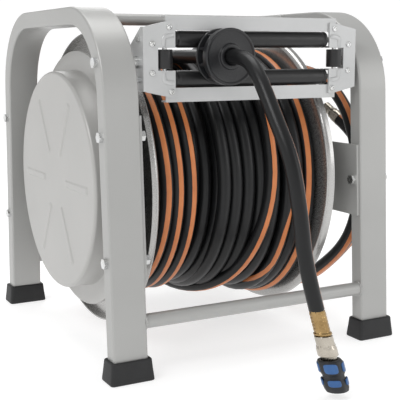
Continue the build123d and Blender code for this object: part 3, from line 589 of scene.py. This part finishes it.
supply_points = [
    (0.199, 0.044, 0.246),
    (0.199, 0.096, 0.246),
    (0.199, 0.1436, 0.2185),
    (0.199, 0.171, 0.171),
    (0.199, 0.1712, 0.116),
    (0.1995, 0.1436, 0.068),
    (0.200, 0.096, 0.041),
    (0.200, 0.038, 0.040),
    (0.2005, -0.040, 0.046),
    (0.201, -0.108, 0.086),
    (0.203, -0.167, 0.134),
    (0.2055, -0.193, 0.190),
    (0.206, -0.193, 0.248),
    (0.2055, -0.182, 0.304),
    (0.2055, -0.151, 0.361),
    (0.206, -0.078, 0.403),
    (0.208, 0.020, 0.410),
    (0.211, 0.108, 0.362),
    (0.215, 0.162, 0.280),
    (0.220, 0.168, 0.185),
    (0.222, 0.124, 0.100),
    (0.223, 0.052, 0.050),
    (0.225, -0.028, 0.044),
    (0.227, -0.105, 0.098),
    (0.228, -0.178, 0.168),
    (0.228, -0.194, 0.218),
    (0.228, -0.184, 0.268),
    (0.228, -0.152, 0.308),
    (0.228, -0.112, 0.328),
]
SUPPLY_MIDDLE_Z = 0.225
supply_line_points = smooth_line(supply_points, 10)
supply_line = hose(
    "supply_line",
    supply_line_points,
    lambda p: Vector((0.0001, p.y, p.z - SUPPLY_MIDDLE_Z)),
    lambda share: -16 + 8 * math.sin(9 * share),
)
belongs(supply_line, "frame", "hose_rubber", "supply_hose")

# ---------------------------------------------------------------- stopper
STOPPER_AXIS = ((LEAD_X, 0, LEAD_Z), (0, -1, 0))
stopper_rear = Shape()
rear_outline = [
    (10.1, 219.1),
    (36.5, 219.1),
    (38, 220.2),
    (38, 224),
    (24, 224.4),
    (23.5, STOPPER_MIDDLE),
    (10.1, STOPPER_MIDDLE),
]
lathe(stopper_rear, soften(rear_outline, 1.2, closed=True), *STOPPER_AXIS)
RIB_COUNT = 10
RIB_SIZES = (3.4, 17.5, 13)
RIB_MIDDLE_Y = -231.5
RIB_MIDDLE_RADIUS = 30
for rib in range(RIB_COUNT):
    angle = 2 * math.pi * (rib + 0.5) / RIB_COUNT
    ray = Vector((math.cos(angle), 0, math.sin(angle)))
    side = Vector((-math.sin(angle), 0, math.cos(angle)))
    centre = Vector((LEAD_X, RIB_MIDDLE_Y, LEAD_Z)) + ray * RIB_MIDDLE_RADIUS
    block(stopper_rear, centre, (side, (0, -1, 0), ray), RIB_SIZES, 0.7)
stopper_rear = stopper_rear.build("stopper_rear_part", [FINISHES["stopper_rubber"]])
belongs(stopper_rear, "frame", "stopper_rubber", "stopper_rear")

front_outline = [
    (10.1, 229),
    (23.4, 229),
    (24, 239),
    (38, 239.2),
    (38.2, 250.2),
    (35.5, 250.6),
    (34, 249),
    (17.6, 248.6),
    (16.8, 252.6),
    (12.6, 252.8),
    (10.1, 251.2),
]
stopper_front = turned(
    "stopper_front_part",
    soften(front_outline, 1.5, closed=True),
    *STOPPER_AXIS,
    [FINISHES["stopper_rubber"]],
    segments=96,
)
belongs(stopper_front, "frame", "stopper_rubber", "stopper_front")

# ---------------------------------------------------------------- ferrule and quick coupling
HOSE_END = Vector(delivery_points[-1]) / MM
END_WAY = (HOSE_END - Vector(delivery_points[-2]) / MM).normalized()
FERRULE_GROOVES = 8


def crimped(angle, along, radius):
    """Press marks along the ferrule, between its ends."""
    if not 2 < along < 28:
        return 0
    return -0.4 * abs(math.cos(FERRULE_GROOVES * angle / 2)) ** 6


ferrule_outline = [(0, 0.2), (10.3, 0.2)]
for groove in range(5):
    start = 3 + 5 * groove
    ferrule_outline += [(10.4, start), (10.75, start + 1.2), (10.75, start + 3.4), (10.4, start + 4.6)]
ferrule_outline += [(10.6, 29.5), (11.9, 30.4), (12.1, 32.6), (10.2, 33.2), (10.2, 34), (0, 34)]
ferrule = turned(
    "crimped_ferrule",
    soften(ferrule_outline, 0.5, 2),
    HOSE_END,
    END_WAY,
    [FINISHES["brass"]],
    segments=96,
    closed=False,
    form=crimped,
)
belongs(ferrule, "frame", "brass", "hose_ferrule")

body_outline = [
    (0, 34.6),
    (11.6, 34.6),
    (12, 35.4),
    (12, 47),
    (12.6, 49),
    (13.5, 52),
    (13.6, 61.6),
    (10.45, 62.4),
    (10.45, 110),
    (8, 110),
    (8, 75),
    (0, 75),
]
coupling = Shape()
lathe(coupling, soften(body_outline, 0.6, 2), HOSE_END, END_WAY, 96, closed=False)
BALLS = 8
BALL_PLACE = 48.5
BALL_RING_RADIUS = 12.1
axis, ball_side, ball_up = frame_along(END_WAY)
for ball in range(BALLS):
    angle = 2 * math.pi * (ball + 0.4) / BALLS
    ray = ball_side * math.cos(angle) + ball_up * math.sin(angle)
    bump = [(0, 0.9)] + [
        (1.7 * math.sin(math.radians(a)), 0.9 * math.cos(math.radians(a))) for a in (25, 50, 75, 90)
    ]
    bump += [(1.7, -1.2), (0, -1.2)]
    lathe(coupling, bump, HOSE_END + axis * BALL_PLACE + ray * BALL_RING_RADIUS, ray, 20, closed=False)
coupling = coupling.build("coupling_body_part", [FINISHES["nickel"]])
belongs(coupling, "frame", "nickel", "coupling_body")

# Where the grip starts, from the hose's end
SLEEVE = 67
grip_outline = [
    (10.6, SLEEVE),
    (15.2, SLEEVE),
    (16.8, SLEEVE + 3),
    (17, SLEEVE + 10),
    (16.8, SLEEVE + 17),
    (14.4, SLEEVE + 21.5),
    (14.4, SLEEVE + 25),
    (16.6, SLEEVE + 29.5),
    (17, SLEEVE + 35),
    (16.6, SLEEVE + 39.5),
    (15, SLEEVE + 44.8),
    (10.6, SLEEVE + 44.8),
]
GRIP_FLATS = 8


def eight_sided(angle, along, radius):
    """Slight flats round the grip."""
    return -0.6 * (1 - math.cos(GRIP_FLATS * angle)) / 2 if radius > 14 else 0


grip = Shape()
lathe(
    grip,
    soften(grip_outline, 2.0, 4, closed=True),
    HOSE_END,
    END_WAY,
    96,
    form=eight_sided,
)
grip = grip.build("coupling_grip", [FINISHES["grip_plastic"]])
belongs(grip, "coupling_sleeve", "grip_plastic", "coupling_sleeve")

# Rows of blue inserts: middle from the hose's end, half length, and half width in degrees
INSERT_ROWS = ((SLEEVE + 10.2, 6.6, 32), (SLEEVE + 30.5, 4.6, 30))
INSERT_TURN = 36
INSERT_STEPS = ((1.0, 16.2), (1.0, 17.1), (0.93, 17.45), (0.6, 17.6))
INSERT_TIP_RADIUS = 17.65
INSERT_BASE_RADIUS = 15.8
inserts = Shape()
OUTLINE_STEPS = 40
for middle, half_length, half_angle in INSERT_ROWS:
    for quarter in range(4):
        facing = math.radians(90 * quarter + INSERT_TURN)
        rings = []
        for share, radius in INSERT_STEPS:
            points = []
            for k in range(OUTLINE_STEPS):
                t = 2 * math.pi * k / OUTLINE_STEPS
                c, s = math.cos(t), math.sin(t)
                across = math.copysign(abs(c) ** 0.5, c) * share
                along = math.copysign(abs(s) ** 0.5, s) * share
                angle = facing + math.radians(half_angle) * across
                ray = ball_side * math.cos(angle) + ball_up * math.sin(angle)
                points.append(HOSE_END + axis * (middle + half_length * along) + ray * radius)
            rings.append(inserts.ring(points))
        for a, b in zip(rings, rings[1:]):
            inserts.bridge(a, b)
        ray = ball_side * math.cos(facing) + ball_up * math.sin(facing)
        tip = inserts.ring([HOSE_END + axis * middle + ray * INSERT_TIP_RADIUS])
        inserts.bridge(rings[-1], tip)
        base = inserts.ring([HOSE_END + axis * middle + ray * INSERT_BASE_RADIUS])
        inserts.bridge(rings[0], base)
inserts = inserts.build("grip_inserts", [BLUE])
belongs(inserts, "coupling_sleeve", "grip_plastic")

# ---------------------------------------------------------------- spring housing cover
CASE_FACE = -221.5
CASE_FOOT = -184.0
CASE_RADIUS = 164.0
RIDGES = 6
RIDGE_HEIGHT = 1.5
RIDGE_SPAN = (46.5, 134.5)
RIDGE_HALF_WIDTH = 4.6
RIDGE_EDGE = 2.4
CASE_RIM = 5.0
CASE_BACK = -182.05
CASE_INSIDE_RADIUS = 161
CASE_LIP_RADIUS = 194
CASE_SEGMENTS = 600


def ease(value):
    """Soft step from 0 to 1."""
    value = min(1, max(0, value))
    return value * value * (3 - 2 * value)


def embossed(angle, radius):
    """Height of the raised radial ridges at a place on the cover's face."""
    sector = 2 * math.pi / RIDGES
    turn = (angle + sector / 2) % sector - sector / 2
    across = abs(radius * math.sin(turn))
    along = radius * math.cos(turn)
    edge = min(RIDGE_HALF_WIDTH - across, along - RIDGE_SPAN[0], RIDGE_SPAN[1] - along)
    return RIDGE_HEIGHT * ease(edge / RIDGE_EDGE + 0.5)


def cover_piece():
    """Pressed dish with a rounded rim, a flat flange and the raised ridges."""
    shape = Shape()
    rim = CASE_RIM
    profile = [(r, CASE_FACE) for r in [1, 8, 16, 24, 32, 38]]
    profile += [(r, CASE_FACE) for r in range(42, 158, 2)]
    for k in range(9):
        turn = math.pi / 2 * k / 8
        profile.append(
            (CASE_RADIUS - rim + rim * math.sin(turn), CASE_FACE + rim - rim * math.cos(turn))
        )
    profile += [(CASE_RADIUS, -200), (CASE_RADIUS, -187), (CASE_RADIUS + 0.8, -184.8)]
    profile += [(CASE_RADIUS + 2.6, CASE_FOOT), (180, CASE_FOOT), (193, CASE_FOOT)]
    profile += [(CASE_LIP_RADIUS, CASE_FOOT + 0.4), (CASE_LIP_RADIUS, -182.4), (193.6, CASE_BACK)]
    profile += [(162.4, CASE_BACK), (CASE_INSIDE_RADIUS, CASE_FOOT), (CASE_INSIDE_RADIUS, -214)]
    profile += [(158, -219.2), (1, -219.3)]
    rings = []
    for radius, x in profile:
        points = []
        on_face = x <= CASE_FACE + 0.5 and radius < CASE_RADIUS - rim
        for k in range(CASE_SEGMENTS):
            angle = 2 * math.pi * k / CASE_SEGMENTS
            lift = embossed(angle, radius) if on_face else 0
            points.append(
                (x - lift, radius * math.cos(angle), AXLE_Z + radius * math.sin(angle))
            )
        rings.append(shape.ring(points))
    for a, b in zip(rings, rings[1:]):
        shape.bridge(a, b)
    shape.face(rings[0][::-1])
    shape.face(rings[-1])
    return shape.build("spring_cover", [FINISHES["case_paint"]], sharp=50)


belongs(cover_piece(), "frame", "case_paint", "spring_case_cover")

# ---------------------------------------------------------------- hose guide details
GUIDE_FACE = -220.0
ROLLER_Y = -207.0
ROLLER_RISE = 26.5
ROLLER_HALF_LENGTH = 123.9
SIDE_ROLLER_X = 138
SIDE_ROLLER_Y = -213
for name, node, z in (
    ("top_roller_sleeve", "top_roller", SLOT_Z + ROLLER_RISE),
    ("bottom_roller_sleeve", "bottom_roller", SLOT_Z - ROLLER_RISE),
):
    ends = [(4.2, 0.8), (7.2, 0.6), (8.2, 2.6), (9.6, 2.4), (10.6, 0.0), (11.5, 0.5), (11.5, 4)]
    ends += [(11.0, 5.5), (11.0, 7.0), (11.5, 8.5)]
    half = ROLLER_HALF_LENGTH
    outline = [(r, -half + s) for r, s in ends] + [(r, half - s) for r, s in reversed(ends)]
    sleeve = turned(
        name,
        soften(outline, 0.5, 2, closed=True),
        (0, ROLLER_Y, z),
        (1, 0, 0),
        [FINISHES["roller_plastic"]],
        segments=64,
    )
    belongs(sleeve, node, "roller_plastic", node)

for name, node, x in (
    ("left_side_sleeve", "left_side_roller", -SIDE_ROLLER_X),
    ("right_side_sleeve", "right_side_roller", SIDE_ROLLER_X),
):
    outline = [(3.2, -12.4), (6, -12.4), (7, -11.6), (9, -11.8), (10, -13), (11, -12.2)]
    outline += [(r, -s) for r, s in reversed(outline)]
    sleeve = turned(
        name,
        soften(outline, 0.8, 3, closed=True),
        (x, SIDE_ROLLER_Y, SLOT_Z),
        (0, 0, 1),
        [FINISHES["roller_plastic"]],
        segments=64,
    )
    belongs(sleeve, node, "roller_plastic", node)


def ridge(shape, path, half_width, height):
    """Adds a rounded raised bead along path, sunk into the guide's face."""
    rings = []
    last = len(path) - 1
    for i, (x, z) in enumerate(path):
        before, after = Vector(path[max(i - 1, 0)]), Vector(path[min(i + 1, last)])
        along = (after - before).normalized()
        across = Vector((along.y, -along.x))
        taper = 0.35 if i in (0, last) else 1.0
        points = []
        for k in range(16):
            angle = 2 * math.pi * k / 16
            offset = across * (half_width * math.cos(angle) * (0.8 + 0.2 * taper))
            lift = height * math.sin(angle) * taper
            points.append((x + offset.x, GUIDE_FACE - lift, z + offset.y))
        rings.append(shape.ring(points))
    for a, b in zip(rings, rings[1:]):
        shape.bridge(a, b)
    shape.face(rings[0][::-1])
    shape.face(rings[-1])


for name, side in (("left_guide_beads", -1), ("right_guide_beads", 1)):
    beads = Shape()
    for up in (1, -1):
        corners = [(127, 31), (133, 31), (142, 29), (142, 17)]
        path = soften([(side * x, SLOT_Z + up * z) for x, z in corners], 7, 5)
        ridge(beads, path, 3.4, 1.7)
    beads = beads.build(name, [FINISHES["guide_sheet"]])
    belongs(beads, "frame", "guide_sheet")

screws = Shape()
SCREW_PLACES = ((134, 42), (159, 20), (159, -18), (131, -43))
dome = [(0, 0.9), (1.5, 1.0), (1.9, 2.35), (2.8, 2.2), (3.8, 1.5), (4.2, 0.5), (4.3, -0.4), (0, -0.4)]
for side in (-1, 1):
    for x, z in SCREW_PLACES:
        place = (side * x, GUIDE_FACE, SLOT_Z + z)
        lathe(screws, soften(dome, 0.3, 2), place, (0, -1, 0), 28, closed=False)
screws = screws.build("guide_screw_heads", [FINISHES["zinc"]])
belongs(screws, "frame", "zinc", "guide_screws")


# ---------------------------------------------------------------- frames: welds and feet
def weld(shape, x, y, z, radius, way):
    """Adds a rippled weld bead round the end of a bar."""
    steps = 60
    rings = []
    for i in range(steps):
        angle = 2 * math.pi * i / steps
        thick = 2.0 + 0.35 * math.sin(14 * angle) + random.uniform(-0.12, 0.12)
        ray = Vector((0, math.cos(angle), math.sin(angle)))
        points = []
        for k in range(8):
            t = 2 * math.pi * k / 8
            points.append(
                Vector((x, y, z))
                + ray * (radius + thick * math.cos(t))
                + Vector((way * thick * math.sin(t), 0, 0))
            )
        rings.append(shape.ring(points))
    for i in range(steps):
        shape.bridge(rings[i], rings[(i + 1) % steps])


welds = Shape()
for end in (-1, 1):
    weld(welds, end * INNER_X, -BAR_Y, BAR_Z, BAR_RADIUS, end)
    weld(welds, end * INNER_X, BAR_Y, BAR_Z, BAR_RADIUS, end)
    weld(welds, end * INNER_X, 0, TOP_BAR_Z, TOP_BAR_RADIUS, end)
welds = welds.build("weld_beads", [FINISHES["frame_paint"]], sharp=70)
belongs(welds, "frame", "frame_paint")


def foot_piece(name, node):
    """Rubber shoe with soft edges, round the tube's end."""
    low, high = (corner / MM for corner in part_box(node))
    centre = (low + high) / 2
    half = (high - low) / 2
    shape = Shape()
    height = high.z
    levels = [
        (1.2, 0.05), (0.2, 0.9), (0.0, 2.2), (0.15, 4), (0.5, 8), (1.4, 16), (2.5, height - 2),
        (2.9, height - 0.7), (3.6, height),
    ]
    rings = []
    for inset, z in levels:
        a, b = half.x - inset, half.y - inset
        corners = [(-a, -b), (a, -b), (a, b), (-a, b)]
        outline = soften(corners, 5, 5, closed=True)
        rings.append(shape.ring([(centre.x + p.x, centre.y + p.y, z) for p in outline]))
    a, b = TUBE_HALF_DEPTH, TUBE_HALF_WIDTH
    corners = [(-a, -b), (a, -b), (a, b), (-a, b)]
    outline = soften(corners, 2, 5, closed=True)
    rings.append(shape.ring([(centre.x + p.x, centre.y + p.y, height) for p in outline]))
    rings.append(shape.ring([(centre.x + p.x, centre.y + p.y, 6) for p in outline]))
    for c, d in zip(rings, rings[1:]):
        shape.bridge(c, d)
    shape.face(rings[0][::-1])
    shape.face(rings[-1])
    piece = shape.build(name, [FINISHES["foot_rubber"]], sharp=45)
    return belongs(piece, "frame", "foot_rubber", node)


for place in ("front_left", "front_right", "rear_left", "rear_right"):
    foot_piece(f"{place}_shoe", f"foot_{place}")


# ---------------------------------------------------------------- floor
def studio_floor():
    """Flat round floor that curves up into a wall all round."""
    shape = Shape()
    flat, bend = 3.4 / MM, 1.5 / MM
    profile = [(0, 0), (flat, 0)]
    profile += [
        (flat + bend * math.sin(a), bend - bend * math.cos(a))
        for a in [math.pi / 2 * k / 12 for k in range(1, 13)]
    ]
    lathe(shape, profile, (0, 0, -0.4), (0, 0, 1), 96, closed=False)
    return shape.build("studio_floor", [floor_finish], sharp=80)


studio_floor()
